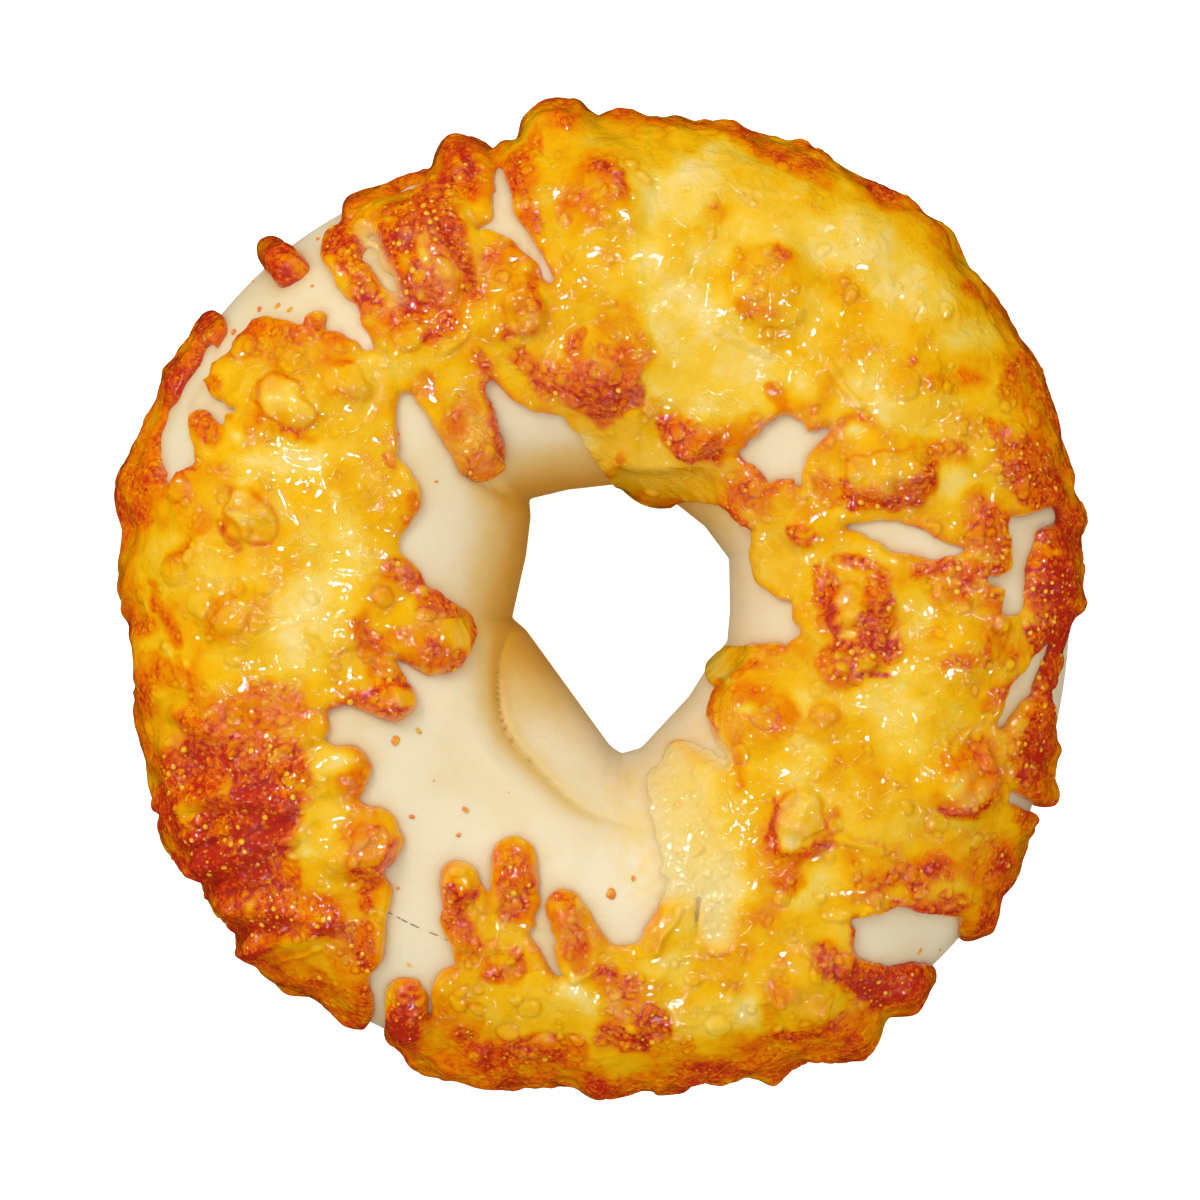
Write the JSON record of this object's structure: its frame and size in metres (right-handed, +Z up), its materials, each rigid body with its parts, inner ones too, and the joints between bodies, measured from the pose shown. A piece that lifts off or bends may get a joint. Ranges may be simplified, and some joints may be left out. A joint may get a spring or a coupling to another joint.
{
  "type": "cheese bagel",
  "caption": "Hand-rolled ring of pale bread dough, one end lapped over beside the hole, with a browned sheet of melted cheese over its upper side.",
  "frame": {"origin": "centre of the bounding box at the underside, where the bagel rests", "axes": "+Z up through the hole, +Y towards the side opposite the lapped join, +X to the right of it seen from above"},
  "size_m": [0.1044, 0.1078, 0.039],
  "materials": {
    "crust": "satin",
    "cheese": "gloss"
  },
  "bodies": {
    "root": {"dough": "crust", "cheese_melt": "cheese", "cheese_drop": "cheese"}
  },
  "joints": []
}
